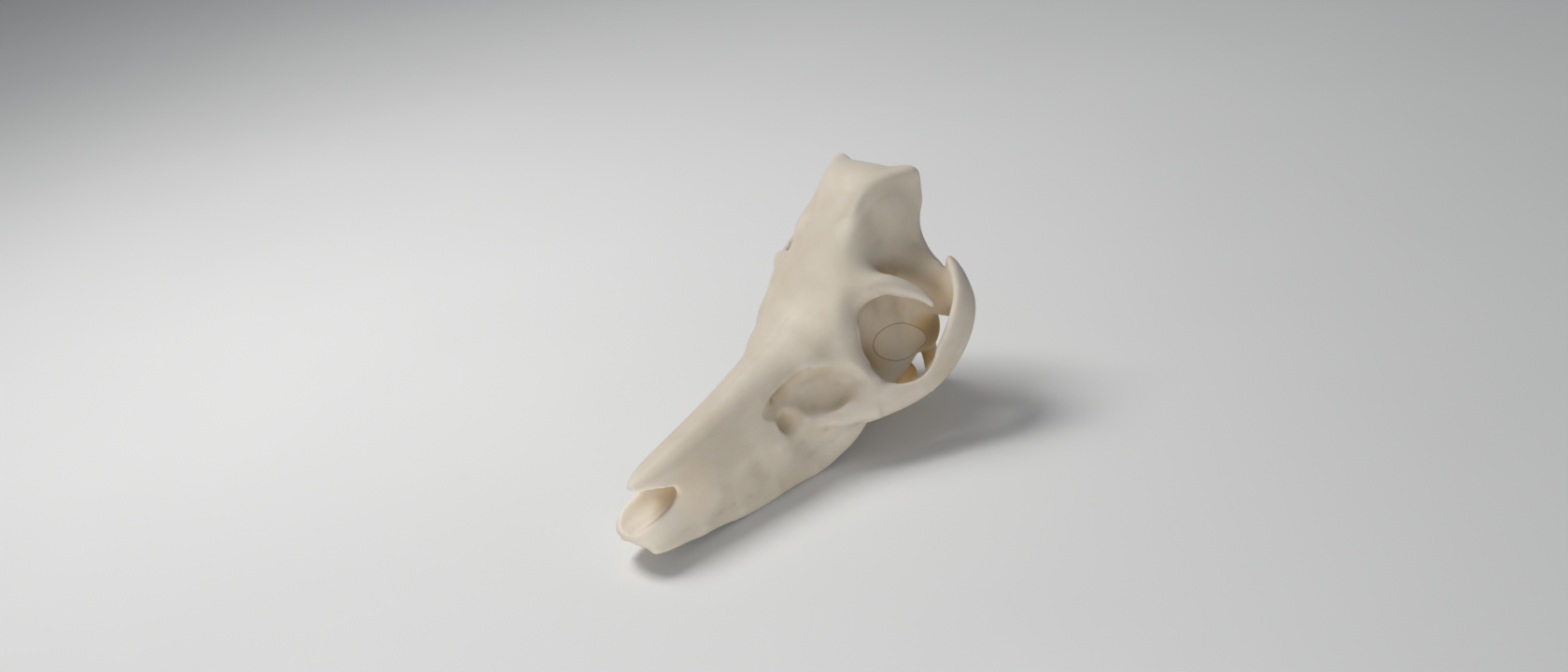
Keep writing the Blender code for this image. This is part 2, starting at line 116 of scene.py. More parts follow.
# Clay forms of the left side, which are mirrored
sideForms = {
    # nuchal crest, a bar that rises to its outer corners and runs down the side
    "crest": {"up": (0, 0.6, 1), "stations": [
        (0, 107, 169, 5, 5, 5), (17, 109, 170, 5, 5, 5), (30, 115, 172, 5, 5, 5),
        (35, 118, 168, 4.5, 4.5, 4.5), (33, 121, 152, 4, 4, 4), (31, 120, 134, 4, 4, 4),
        (34, 117, 122, 5, 5, 5), (46, 111, 112, 5, 6, 5), (58, 107, 106, 5, 6, 6)]},
    # temporal line, where the forehead turns down into the temple
    "temple": {"stations": [
        (34, 60, 118, 6, 5, 8), (29, 59, 126, 5, 5, 8), (23, 58, 137, 5, 4, 8),
        (19, 66, 151, 4, 4, 8), (18, 76, 161, 4, 4, 8), (21, 88, 169, 4, 4, 8),
        (26, 101, 173, 5, 4, 8), (33, 114, 171, 5, 4, 6)]},
    # hollow of the temple, between that line and the crest
    "templeWall": {"squareness": 2.7, "stations": [
        (9, 54, 126, 20, 8, 16), (11, 65, 139, 18.5, 13, 30), (13, 80, 146, 15.5, 15, 36),
        (16, 94, 150, 16, 19, 40), (17, 106, 151, 17, 21, 42), (18, 118, 150, 16, 19, 38)]},
    # fill between the braincase, the temple and the horn over the eye
    "templeFloor": {"stations": [
        (20, 48, 108, 13, 14, 14), (25, 62, 112, 12.5, 15, 15), (27, 78, 116, 7, 13, 13),
        (29, 94, 118, 5.5, 12, 12), (31, 108, 118, 5, 10, 10)]},
    # horn over the eye
    "brow": {"stations": [
        (16, 42, 100, 12, 12, 16), (32, 50, 108, 12, 12, 12), (45, 60, 111, 8.8, 8.2, 8.4),
        (56, 69, 106, 6.8, 6.2, 6.4), (65, 77, 99, 4.8, 4.2, 4.2), (71, 83, 90, 2.8, 2.8, 2.8)]},
    # front wall of the orbit: tear bone and cheek bone, with fill behind the hollow of the face
    "tear": {"up": (1, -0.3, 0), "stations": [
        (24, 38, 102, 13, 13, 13), (29, 28, 86, 15, 13, 13), (33, 25, 70, 14, 12, 12),
        (42, 27, 54, 13, 10, 11), (53, 31, 44, 12, 9, 10), (60, 37, 42, 7, 8, 8)]},
    "fossaBack": {"centre": (30, 20, 50), "radii": (14, 16, 14)},
    "tearBody": {"centre": (21, 12, 68), "radii": (16, 30, 21), "turn": (0, 0, -14)},
    # side of the face above the tooth edge
    "flank": {"up": (-0.3, 0, 0.95), "squareness": 2.3, "stations": [
        (8, -136, 28, 8.5, 14, 12), (11, -98, 33, 10.5, 22, 18), (13.5, -68, 37, 12, 26, 22),
        (16, -38, 41, 14, 29, 24), (19, -12, 46, 15.5, 31, 26), (22, 12, 54, 15, 27, 26)]},
    "cheek": {"stations": [
        (21, -8, 34, 12, 14, 24), (34, 7, 34, 13, 14, 20), (47, 20, 34, 12, 14, 12),
        (58, 33, 38, 9, 12, 12)]},
    "facialCrest": {"stations": [
        (30, -16, 36, 3, 3, 4), (36, -7, 34, 4, 4.5, 4.5), (43, 3, 32.5, 5, 5, 4.5),
        (51, 13, 33, 5, 5.5, 5), (60, 26, 34, 7, 8, 8)]},
    # zygomatic arch, curling back up to a hook
    "arch": {"up": (-0.25, -0.45, 0.8), "stations": [
        (52, 18, 31, 6, 9, 8), (62, 33, 36, 7, 13, 10), (71, 49, 41, 7, 10.5, 11),
        (78.5, 64, 49, 6.5, 10, 12), (84, 79, 62, 6, 10, 12), (85, 92, 77, 6, 10.5, 12),
        (82, 102, 91, 5, 10, 11), (74, 107, 104, 5, 9, 9), (68, 108, 112, 4.5, 6, 7),
        (65, 108, 118, 2.5, 3, 3)]},
    # wall from the braincase out to the back of the arch, with the jaw joint under it
    "archRoot": {"stations": [
        (22, 98, 96, 14, 24, 30), (38, 105, 93, 11, 22, 32), (54, 107, 89, 7, 20, 21.5),
        (68, 105, 88, 6, 18, 17), (78, 101, 88, 5, 14, 14)]},
    "mastoid": {"centre": (34.5, 109, 56), "radii": (13, 15, 21)},
    # jugular process, on which the back of the skull rests
    "jugular": {"up": (0, 1, 0), "stations": [
        (30, 107, 62, 8, 12, 12), (32, 112.5, 46, 6.2, 10, 8), (33.5, 115.5, 32, 5, 8.5, 6.5),
        (34, 116, 18, 4.3, 7, 5.5), (33.5, 115.5, 6, 3.6, 5.2, 5.5), (32.5, 114, -3, 3, 4, 4)]},
    "condyle": {"centre": (13, 124, 45), "radii": (9, 9, 13), "turn": (0, 25, 0)},
    # hollow ear bulge under the braincase
    "bulla": {"up": (0, 1, 0), "stations": [
        (22, 88, 42, 9, 10, 12), (23, 91.5, 30, 8, 8.5, 12), (25.5, 97.5, 19, 7.6, 9.5, 11),
        (27, 100, 12, 5.5, 7.5, 8)]},
    # inner wall of the eye socket
    "wall": {"centre": (17, 80, 62), "radii": (20, 34, 28)},
    "wallTop": {"centre": (10, 58, 84), "radii": (23, 26, 24)},
    # plates beside the back of the nose passage
    "pterygoid": {"stations": [
        (15, 20, 32, 5, 12, 14), (17, 40, 28, 4, 12, 14), (18, 58, 26, 4, 10, 12),
        (18, 70, 20, 3, 4, 4)]},
    # tooth edge
    "alveolus": {"stations": [
        (13, -153, 2, 5, 5, 3), (16, -140, 0, 4, 6, 4), (19, -100, -2, 4, 7, 6),
        (23, -74, -3, 4.5, 8, 7), (27, -40, -2, 5, 9, 7), (31, -12, -1, 5, 9, 7), (35, 3, 6, 5, 9, 8),
        (41, 13, 16, 5, 10, 9), (46, 21, 27, 5, 9, 9)]},
}

# What is hollowed out, on the middle plane
middleHollows = {
    # nose opening, a wedge that reaches out through both sides
    "noseMouth": {"squareness": 2.2, "stations": [
        (0, -180, 34, 34, 10, 16), (0, -160, 32, 34, 10, 16), (0, -146, 31, 34, 9.5, 10),
        (0, -134, 32, 34, 7, 7.5), (0, -125, 34, 34, 3, 3)]},
    "nosePassage": {"stations": [
        (0, -176, 26, 13, 12, 13), (0, -150, 26, 14, 13, 13), (0, -131, 28, 14, 14, 13),
        (0, -118, 30, 11, 11, 11), (0, -109, 31, 5, 5, 5)]},
    # arched roof of the mouth, so that only the tooth edges touch the surface
    "palateVault": {"stations": [
        (0, -150, -15, 6, 12, 4), (0, -120, -15, 11, 14, 4), (0, -70, -17, 16, 15, 4),
        (0, -20, -17, 19, 16, 4), (0, 20, -14, 20, 20, 4), (0, 44, -8, 14, 22, 4)]},
    # back opening of the nose passage
    "choanae": {"stations": [
        (0, 74, 22, 10, 12, 14), (0, 50, 22, 9, 12, 10), (0, 30, 22, 8, 9, 8), (0, 18, 22, 4, 4, 4)]},
    # hole for the spinal cord
    "foramenMagnum": {"stations": [
        (0, 150, 54, 9, 9, 9), (0, 120, 56, 9, 9, 9), (0, 96, 64, 7, 7, 7)]},
}

# and on both sides
sideHollows = {
    # eye socket
    "orbit": {"centre": (63, 52.5, 75), "radii": (25, 26, 31), "turn": (0, 0, -30)},
    "orbitDeep": {"centre": (58, 68, 70), "radii": (22, 28, 24)},
    # hollow in front of the eye
    "facialFossa": {"stations": [
        (30, -55, 56, 5, 3, 7), (31, -45, 58, 9, 6, 12), (34, -28, 60, 14, 10, 15),
        (38, -12, 61, 15.5, 11, 22), (45, 2, 60, 16, 11, 21), (52, 12, 57, 14, 11, 16),
        (59, 19, 51, 9, 8, 8)]},
    # shallow foramen before it
    "infraorbital": {"centre": (39, -30.5, 45), "radii": (15.8, 13.5, 13.5)},
}


def put(tree, kind, inputs=None, **settings):
    # Adds a node; an input is given a value, or linked to another node's output
    node = tree.nodes.new(kind)
    for name, value in settings.items():
        setattr(node, name, value)
    for name, value in (inputs or {}).items():
        if isinstance(value, bpy.types.NodeSocket):
            tree.links.new(value, node.inputs[name])
        else:
            node.inputs[name].default_value = value
    return node


def mixed(tree, share, under, over):
    mix = put(tree, "ShaderNodeMix", {0: share, 6: under, 7: over}, data_type="RGBA")
    return mix.outputs[2]


def mathed(tree, operation, a, b=0.0, clamp=False):
    return put(tree, "ShaderNodeMath", {0: a, 1: b}, operation=operation, use_clamp=clamp).outputs[0]


def ranged(tree, value, low, high, start=0.0, end=1.0):
    return put(tree, "ShaderNodeMapRange", {
        "Value": value, "From Min": low, "From Max": high, "To Min": start, "To Max": end}).outputs["Result"]


def addMesh(name, build, collection):
    # Fills a new mesh with a bmesh recipe
    mesh = bpy.data.meshes.new(name)
    bm = bmesh.new()
    build(bm)
    bm.to_mesh(mesh)
    bm.free()
    piece = bpy.data.objects.new(name, mesh)
    collection.objects.link(piece)
    return piece


def smoothLine(points, steps):
    # A Catmull-Rom line of values through rows of numbers
    rows = np.array(points, float)
    ends = np.vstack([2 * rows[0] - rows[1], rows, 2 * rows[-1] - rows[-2]])
    line = []
    for i in range(1, len(ends) - 2):
        a, b, c, d = ends[i - 1:i + 3]
        for t in np.arange(steps) / steps:
            bend = (2 * a - 5 * b + 4 * c - d) * t**2 + (3 * b - a - 3 * c + d) * t**3
            line.append(0.5 * (2 * b + (c - a) * t + bend))
    line.append(rows[-1])
    return np.array(line)


def addLimb(name, form, collection):
    # A closed body swept through the form's stations, with rounded-square sections
    line = smoothLine(form["stations"], skinSettings["spanSteps"])
    power = 2 / form.get("squareness", 2)
    count = skinSettings["sides"]
    forwards = np.gradient(line[:, :3], axis=0)

    def build(bm):
        rings = []
        for row, forward in zip(line, forwards):
            ahead = Vector(forward).normalized()
            side = ahead.cross(Vector(form.get("up", (0, 0, 1)))).normalized()
            above = side.cross(ahead).normalized()
            ring = []
            for k in range(count):
                angle = 2 * math.pi * k / count
                c, s = math.cos(angle), math.sin(angle)
                across = math.copysign(abs(c)**power, c) * max(row[3], 0.3)
                tall = math.copysign(abs(s)**power, s) * max(row[4] if s > 0 else row[5], 0.3)
                ring.append(bm.verts.new(Vector(row[:3]) + side * across + above * tall))
            rings.append(ring)
        for first, second in zip(rings, rings[1:]):
            for k in range(count):
                n = (k + 1) % count
                bm.faces.new((first[k], first[n], second[n], second[k]))
        bm.faces.new(rings[0][::-1])
        bm.faces.new(rings[-1])
        bmesh.ops.recalc_face_normals(bm, faces=bm.faces)

    return addMesh(name, build, collection)


def addBall(name, form, collection):
    place = Matrix.Translation(form["centre"])
    for degrees, axis in zip(reversed(form.get("turn", (0, 0, 0))), "ZYX"):
        place = place @ Matrix.Rotation(math.radians(degrees), 4, axis)
    place = place @ Matrix.Diagonal((*form["radii"], 1))

    def build(bm):
        bmesh.ops.create_uvsphere(
            bm, u_segments=skinSettings["ballSides"], v_segments=skinSettings["ballRings"], radius=1)
        bmesh.ops.transform(bm, matrix=place, verts=bm.verts)

    return addMesh(name, build, collection)


def addForms(middle, side, collection):
    for forms, twice in ((middle, False), (side, True)):
        for name, form in forms.items():
            piece = (addLimb if "stations" in form else addBall)(name, form, collection)
            if twice:
                twin = piece.copy()
                twin.data = piece.data.copy()
                twin.data.transform(Matrix.Diagonal((-1, 1, 1, 1)))
                twin.data.flip_normals()
                collection.objects.link(twin)


def kept(piece):
    # Takes what the piece's modifiers make as its own mesh
    graph = bpy.context.evaluated_depsgraph_get()
    mesh = bpy.data.meshes.new_from_object(piece.evaluated_get(graph))
    piece.modifiers.clear()
    piece.data = mesh


def applied(piece, kind, **settings):
    # Adds one modifier and keeps its result as the piece's own mesh
    modifier = piece.modifiers.new(kind.title(), kind)
    for name, value in settings.items():
        setattr(modifier, name, value)
    kept(piece)


def joined(name, collection):
    # All closed forms of the collection as one closed body
    first = collection.objects[0]
    body = bpy.data.objects.new(name, first.data.copy())
    bpy.context.scene.collection.objects.link(body)
    bpy.data.objects.remove(first)
    applied(body, "BOOLEAN", operation="UNION", solver="MANIFOLD",
            operand_type="COLLECTION", collection=collection)
    for piece in list(collection.objects):
        bpy.data.objects.remove(piece)
    return body


def keepLargest(piece):
    # Drops every loose scrap but the shell with the most faces
    bm = bmesh.new()
    bm.from_mesh(piece.data)
    left = set(bm.faces)
    shells = []
    while left:
        shell = {left.pop()}
        edge = list(shell)
        while edge:
            near = {n for face in edge for e in face.edges for n in e.link_faces} - shell
            shell |= near
            edge = list(near)
        left -= shell
        shells.append(shell)
    shells.sort(key=len)
    scraps = [face for shell in shells[:-1] for face in shell]
    bmesh.ops.delete(bm, geom=scraps, context="FACES")
    bm.to_mesh(piece.data)
    bm.free()


def vertexRows(mesh, normals=False):
    source, what = (mesh.vertex_normals, "vector") if normals else (mesh.vertices, "co")
    rows = np.empty(len(source) * 3, np.float32)
    source.foreach_get(what, rows)
    return rows.reshape(-1, 3).astype(float)


# Strokes of the modelling tool on the left side, mirrored. Points are (x, y, z), "reach" is how
# far the stroke is felt, and a positive depth digs in while a negative one builds up
strokes = {
    "fossaUpperLine": {"depth": 1.2, "reach": 3.5, "points": [
        (22, -34, 60), (21, -24, 63), (24, -14, 67), (30, -5, 69)]},
    "ridgeByForamen": {"depth": -0.9, "reach": 3.0, "points": [(27, -20, 55), (31, -18, 48), (35, -17, 42)]},
    "foramenRim": {"depth": -0.6, "reach": 2.0, "points": [
        (33, -24, 50), (34.5, -23, 45), (34, -25, 39), (32.5, -31, 36.5), (31, -37, 38)]},
    "crestHollow": {"depth": 1.8, "reach": 4.5, "points": [(39, -4, 25), (44, 5, 23), (50, 13, 24)]},
    "rootBulgeFront": {"depth": -1.8, "reach": 8, "points": [(30, -41, 28), (31, -37, 22)]},
    "rootHollow": {"depth": 1.8, "reach": 8, "points": [(28, -62, 24), (29, -56, 14)]},
    "hollowBehindRoots": {"depth": 1.6, "reach": 8, "points": [(33, -22, 22), (33, -16, 12)]},
    "caninePillar": {"depth": -1.9, "reach": 8, "points": [(20, -112, 2), (20, -106, 10), (21, -98, 18)]},
    "snoutSide": {"depth": 0.8, "reach": 9, "points": [(20, -84, 38), (22, -66, 46)]},
    "toothBumps": {"depth": -0.6, "reach": 5, "points": [(25, -80, -2), (25, -79, 3)]},
    "toothBumpsMiddle": {"depth": -0.7, "reach": 5, "points": [(30, -50, -3), (30, -50, 3)]},
    "toothBumpsBack": {"depth": -0.7, "reach": 5, "points": [(34, -16, -2), (34, -16, 4)]},
    "noseFloorGroove": {"depth": 0.6, "reach": 2.2, "points": [(0, -156, 14), (0, -142, 14), (0, -124, 16)]},
    "roofMidline": {"depth": 0.3, "reach": 2.0, "points": [
        (0, -146, 50), (0, -90, 62), (0, -30, 79), (0, 10, 96)]},
    "palateMidline": {"depth": 0.6, "reach": 1.6, "points": [
        (0, -140, -2), (0, -80, -2), (0, -20, 0), (0, 20, 4)]},
    "palateGroove": {"depth": 0.9, "reach": 2.4, "points": [(9, -110, -3), (12, -60, -3), (13, -10, -1)]},
    "archInnerRidge": {"depth": -0.8, "reach": 2.6, "points": [
        (74, 46, 51), (80, 62, 60), (83, 76, 73), (83, 88, 87), (80, 98, 99)]},
    "archOuterHollow": {"depth": 0.9, "reach": 5, "points": [(80, 58, 44), (88, 76, 58), (90, 92, 76)]},
    "socketRim": {"depth": -1.3, "reach": 2.0, "points": [
        (46, 35, 60), (41, 34, 72), (40, 37, 84), (42, 43, 96), (48, 52, 104)]},
    "earCanal": {"depth": 3.5, "reach": 2.6, "points": [(60, 112, 93), (60, 114, 93)]},
    "napeRidge": {"depth": -1.2, "reach": 4, "points": [(0, 121, 158), (0, 123, 130), (0, 124, 100)]},
    "napeHollow": {"depth": 1.6, "reach": 9, "points": [(14, 121, 150), (15, 122, 120)]},
    "hypoglossal": {"depth": 2.2, "reach": 1.8, "points": [(22, 119, 42), (22, 121, 42)]},
}
# Places where joined forms are rubbed smooth, with how many rounds
rubs = {
    "forehead": {"rounds": 120, "reach": 16, "points": [(12, 0, 84), (16, 24, 94), (18, 42, 110)]},
    "browRoot": {"rounds": 60, "reach": 9, "points": [(33, 53, 124), (34, 62, 120), (36, 70, 114)]},
    "templeCorner": {"rounds": 60, "reach": 8, "points": [(24, 70, 130), (28, 82, 122), (33, 96, 116)]},
    "crestCorner": {"rounds": 60, "reach": 8, "points": [(24, 94, 166), (30, 104, 168), (33, 112, 160)]},
    "archRootTop": {"rounds": 40, "reach": 8, "points": [(38, 104, 118), (50, 106, 112), (62, 105, 106)]},
    "muzzleSide": {"rounds": 50, "reach": 8, "points": [(20, -110, 34), (24, -70, 44)]},
    "fossaEnd": {"rounds": 60, "reach": 5, "points": [(39, 17, 62), (45, 20, 54), (50, 20, 47)]},
    "crestFoot": {"rounds": 80, "reach": 9, "points": [(32, 113, 130), (37, 111, 121), (42, 107, 116)]},
    "socketWall": {"rounds": 80, "reach": 12, "points": [(38, 62, 66), (40, 80, 64), (40, 92, 60)]},
    "cheekSide": {"rounds": 80, "reach": 10, "points": [(33, -20, 28), (34, -20, 8), (30, -44, 8)]},
}


def brushTree(name):
    # Geometry nodes that work the skin along a path, the same on both sides: "carve" moves it
    # along its normals, and "rub" evens it out
    tree = bpy.data.node_groups.new(name, "GeometryNodeTree")
    sockets = {"Geometry": "Geometry", "Path": "Object", "Reach": "Float", "Material": "Material"}
    sockets.update({"Depth": "Float"} if name == "carve" else {"Rounds": "Int"})
    for label, kind in sockets.items():
        tree.interface.new_socket(label, in_out="INPUT", socket_type="NodeSocket" + kind)
    tree.interface.new_socket("Geometry", in_out="OUTPUT", socket_type="NodeSocketGeometry")
    given = tree.nodes.new("NodeGroupInput").outputs
    position = put(tree, "GeometryNodeInputPosition").outputs[0]
    split = put(tree, "ShaderNodeSeparateXYZ", {0: position}).outputs
    folded = put(tree, "ShaderNodeCombineXYZ", {
        0: mathed(tree, "ABSOLUTE", split[0]), 1: split[1], 2: split[2]}).outputs[0]
    path = put(tree, "GeometryNodeObjectInfo", {"Object": given["Path"]}).outputs["Geometry"]
    gap = put(tree, "GeometryNodeProximity", {"Geometry": path, "Sample Position": folded},
              target_element="EDGES").outputs["Distance"]
    share = mathed(tree, "DIVIDE", gap, given["Reach"])
    felt = mathed(tree, "EXPONENT", mathed(tree, "MULTIPLY", mathed(tree, "MULTIPLY", share, share), -1.0))
    if name == "carve":
        depth = mathed(tree, "MULTIPLY", mathed(tree, "MULTIPLY", given["Depth"], felt), -1.0)
        push = put(tree, "ShaderNodeVectorMath", {
            0: put(tree, "GeometryNodeInputNormal").outputs[0], "Scale": depth}, operation="SCALE")
        moved = put(tree, "GeometryNodeSetPosition", {
            "Geometry": given["Geometry"], "Offset": push.outputs[0]})
    else:
        even = put(tree, "GeometryNodeBlurAttribute", data_type="FLOAT_VECTOR")
        tree.links.new(position, [s for s in even.inputs if s.name == "Value" and s.enabled][0])
        tree.links.new(given["Rounds"], even.inputs["Iterations"])
        tree.links.new(felt, even.inputs["Weight"])
        result = [s for s in even.outputs if s.enabled][0]
        moved = put(tree, "GeometryNodeSetPosition", {"Geometry": given["Geometry"], "Position": result})
    real = put(tree, "GeometryNodeRealizeInstances", {"Geometry": moved.outputs[0]})
    finished = put(tree, "GeometryNodeSetMaterial", {
        "Geometry": real.outputs[0], "Material": given["Material"]})
    out = tree.nodes.new("NodeGroupOutput")
    tree.links.new(finished.outputs[0], out.inputs[0])
    return tree


def brushed(skin, tree, settings, bone):
    # One pass of a brush tree along one path
    line = smoothLine(settings["points"], skinSettings["pathSteps"])
    path = bpy.data.meshes.new("path")
    path.from_pydata([tuple(p) for p in line], [(i, i + 1) for i in range(len(line) - 1)], [])
    guide = bpy.data.objects.new("path", path)
    bpy.context.scene.collection.objects.link(guide)
    sockets = {s.name: s.identifier for s in tree.interface.items_tree if s.in_out == "INPUT"}
    modifier = skin.modifiers.new(tree.name, "NODES")
    modifier.node_group = tree
    modifier[sockets["Path"]] = guide
    modifier[sockets["Reach"]] = float(settings["reach"])
    modifier[sockets["Material"]] = bone
    if "depth" in settings:
        modifier[sockets["Depth"]] = float(settings["depth"])
    else:
        modifier[sockets["Rounds"]] = settings["rounds"]
    kept(skin)
    bpy.data.objects.remove(guide)


def sculpted(skin, bone):
    rub, carve = brushTree("rub"), brushTree("carve")
    for settings in rubs.values():
        brushed(skin, rub, settings, bone)
    for settings in strokes.values():
        brushed(skin, carve, settings, bone)


def evened(piece, grain, rounds):
    # Remeshes a closed piece to an even grain, then smooths it
    applied(piece, "REMESH", mode="VOXEL", voxel_size=grain)
    applied(piece, "SMOOTH", factor=skinSettings["smoothing"], iterations=rounds)


def makeSkin(bone):
    forms = bpy.data.collections.new("forms")
    hollows = bpy.data.collections.new("hollows")
    for collection in (forms, hollows):
        bpy.context.scene.collection.children.link(collection)
    addForms(middleForms, sideForms, forms)
    addForms(middleHollows, sideHollows, hollows)
    skin = joined("skull_skin", forms)
    evened(skin, skinSettings["clayVoxel"], skinSettings["clayRounds"])
    hollow = joined("hollow", hollows)
    evened(hollow, skinSettings["clayVoxel"], skinSettings["hollowRounds"])
    applied(skin, "BOOLEAN", operation="DIFFERENCE", solver="MANIFOLD", object=hollow)
    bpy.data.objects.remove(hollow)
    evened(skin, skinSettings["skinVoxel"], skinSettings["skinRounds"])
    keepLargest(skin)
    print("working over the surface")
    sculpted(skin, bone)
    share = skinSettings["mostTriangles"] / (2 * len(skin.data.polygons))
    applied(skin, "DECIMATE", ratio=min(share, 1), use_collapse_triangulate=True)
    for collection in (forms, hollows):
        bpy.data.collections.remove(collection)
    return skin


def laidToRest(skin):
    # From the layout in millimetres to the table in metres; what would sink in becomes a flat
    skin.data.transform(toTable)
    places = vertexRows(skin.data)
    places[:, 2] = np.maximum(places[:, 2], 0)
    skin.data.vertices.foreach_set("co", places.astype(np.float32).ravel())
    skin.data.update()
    skin.data.shade_smooth()


tintSettings = {
    "probes": 9000,  # spots where the shelter is measured
    "rays": 48,
    "reach": 0.05,  # metres, how far a ray looks for bone
    "start": 0.0004,  # metres above the skin
    "neighbours": 5,  # probes that a place between them is mixed from
    "blend": 0.0005,  # metres, keeps the nearest probe from ruling alone
    "creaseRounds": 3,
}


def shelterOf(skin):
    # How far each spot is closed in by bone around it, from 0 in the open to 1 in a deep hollow; the tint
    # darkens the bone by it as painted shade
    mesh = skin.data
    places, normals = vertexRows(mesh), vertexRows(mesh, normals=True)
    faces = [tuple(face.vertices) for face in mesh.polygons]
    tree = BVHTree.FromPolygons([Vector(p) for p in places], faces)
    golden = math.pi * (3 - math.sqrt(5))
    tries = []
    for k in range(tintSettings["rays"]):
        up = 1 - (k + 0.5) / tintSettings["rays"]
        flat = math.sqrt(1 - up * up)
        tries.append(Vector((flat * math.cos(golden * k), flat * math.sin(golden * k), up)))
    probes = range(0, len(places), max(1, len(places) // tintSettings["probes"]))
    spots = KDTree(len(probes))
    found = []
    for i, k in enumerate(probes):
        normal = Vector(normals[k])
        start = Vector(places[k]) + normal * tintSettings["start"]
        turn = normal.to_track_quat("Z", "Y")
        met = 0.0
        for direction in tries:
            hit = tree.ray_cast(start, turn @ direction, tintSettings["reach"])
            if hit[0] is not None:
                met += direction.z * (1 - hit[3] / tintSettings["reach"])**0.5
        found.append(met)
        spots.insert(places[k], i)
    spots.balance()
    found = np.array(found) / sum(direction.z for direction in tries)
    shelter = np.empty(len(places))
    for k, place in enumerate(places):
        near = spots.find_n(place, tintSettings["neighbours"])
        weights = [1 / (gap + tintSettings["blend"])**2 for _, _, gap in near]
        shelter[k] = sum(w * found[i] for w, (_, i, _) in zip(weights, near)) / sum(weights)
    return shelter


def creaseOf(skin):
    # How hollow (positive) or ridged (negative) the skin is just around each spot; the tint paints shade into
    # the hollows and a highlight onto the ridges
    mesh = skin.data
    places, normals = vertexRows(mesh), vertexRows(mesh, normals=True)
    pairs = np.empty(len(mesh.edges) * 2, np.int32)
    mesh.edges.foreach_get("vertices", pairs)
    a, b = pairs.reshape(-1, 2).T
    count = np.bincount(a, minlength=len(places)) + np.bincount(b, minlength=len(places))

    def spread(values):
        total = np.zeros(values.shape)
        np.add.at(total, a, values[b])
        np.add.at(total, b, values[a])
        return total / count.reshape(-1, *[1] * (values.ndim - 1))

    bend = ((spread(places) - places) * normals).sum(1) / millimetre
    for _ in range(tintSettings["creaseRounds"]):
        bend = (bend + spread(bend)) / 2
    return bend


# Spots of painted glow, an ochre tint as of light shining through thin bone, in layout millimetres: (x, y, z),
# reach and strength; mirrored
glowSpots = [
    ((5, -113, 31), 14, 0.7), ((32, 96, 23), 15, 1.0), ((31, 82, 22), 13, 1.0), ((28, -31, 43), 9, 0.4),
    ((40, 62, 52), 18, 0.35), ((60, 104, 84), 18, 0.25)]
# and of painted light inside the nose, which makes the bone paler there and lifts the painted shade
noseLightSpots = [((4, -142, 24), 22, 1.2), ((4, -122, 28), 20, 1.2)]
# and of painted shadow, darkened as in a deep hollow: behind the eye socket, under the upper rim of the hollow
# before it, and low on the cheek arch
paintedShadowSpots = [
    ((43, 108, 55), 17, 0.8), ((34, 108, 32), 14, 0.6), ((21, -37, 57), 9, 0.3), ((21, -26, 61), 9, 0.3),
    ((25, -14, 66), 9, 0.22), ((86, 72, 48), 16, 0.2)]


def spotted(skin, spots):
    # How strongly each place on the skin belongs to such spots, once they lie on the table
    places = vertexRows(skin.data)
    places[:, 0] = abs(places[:, 0])
    share = np.zeros(len(places))
    for centre, reach, strength in spots:
        there = np.array(toTable @ Vector(centre))
        gap = ((places - there)**2).sum(1)
        share = np.maximum(share, strength * np.exp(-gap / (reach * millimetre)**2))
    return share


def tinted(skin):
    # Keeps what the material needs to know of each place as attributes of the skin
    # the shelter takes in the painted shadow spots, and both darken the bone as painted shade
    measures = {"shelter": np.maximum(shelterOf(skin), spotted(skin, paintedShadowSpots)), "crease": creaseOf(skin),
                "paintedGlow": spotted(skin, glowSpots), "paintedNoseLight": spotted(skin, noseLightSpots)}
    for name, values in measures.items():
        skin.data.attributes.new(name, "FLOAT", "POINT").data.foreach_set("value", values.astype(np.float32))
        print(name, "from", round(float(values.min()), 3), "to", round(float(values.max()), 3))


def newGroup(name, inputs, outputs):
    tree = bpy.data.node_groups.new(name, "ShaderNodeTree")
    for label, (kind, value) in inputs.items():
        socket = tree.interface.new_socket(label, in_out="INPUT", socket_type="NodeSocket" + kind)
        if value is not None:
            socket.default_value = value
    for label, kind in outputs.items():
        tree.interface.new_socket(label, in_out="OUTPUT", socket_type="NodeSocket" + kind)
    return tree, tree.nodes.new("NodeGroupInput").outputs, tree.nodes.new("NodeGroupOutput")


def mottleGroup():
    # Soft uneven patches from 0 to 1, for the bone's tone and for the table
    tree, given, out = newGroup("mottle", {
        "Vector": ("Vector", None), "Scale": ("Float", 40.0), "Detail": ("Float", 4.0),
        "Low": ("Float", 0.35), "High": ("Float", 0.65)}, {"Value": "Float"})
    noise = put(tree, "ShaderNodeTexNoise", {
        "Vector": given["Vector"], "Scale": given["Scale"], "Detail": given["Detail"], "Roughness": 0.55})
    spread = put(tree, "ShaderNodeMapRange", {
        "Value": noise.outputs["Fac"], "From Min": given["Low"], "From Max": given["High"]},
        interpolation_type="SMOOTHSTEP")
    tree.links.new(spread.outputs["Result"], out.inputs["Value"])
    return tree


boneColours = {
    "pale": (0.72, 0.655, 0.56, 1),
    "tan": (0.60, 0.52, 0.40, 1),
    # painted highlight on ridges
    "ridgeHighlight": (0.80, 0.75, 0.67, 1),
    # painted glow, as of light shining through thin bone
    "glowOchre": (0.60, 0.345, 0.055, 1),
    # painted shade in hollows, also used for a faint fine mottle
    "shadeAndMottleBrown": (0.50, 0.335, 0.145, 1),
    # painted light inside the nose
    "paintedNoseLight": (0.94, 0.87, 0.76, 1),
    # painted shade in deep hollows and along the oval line of the eye socket
    "deep": (0.12, 0.075, 0.03, 1),
    # painted shade in creases
    "crease": (0.20, 0.14, 0.08, 1),
}
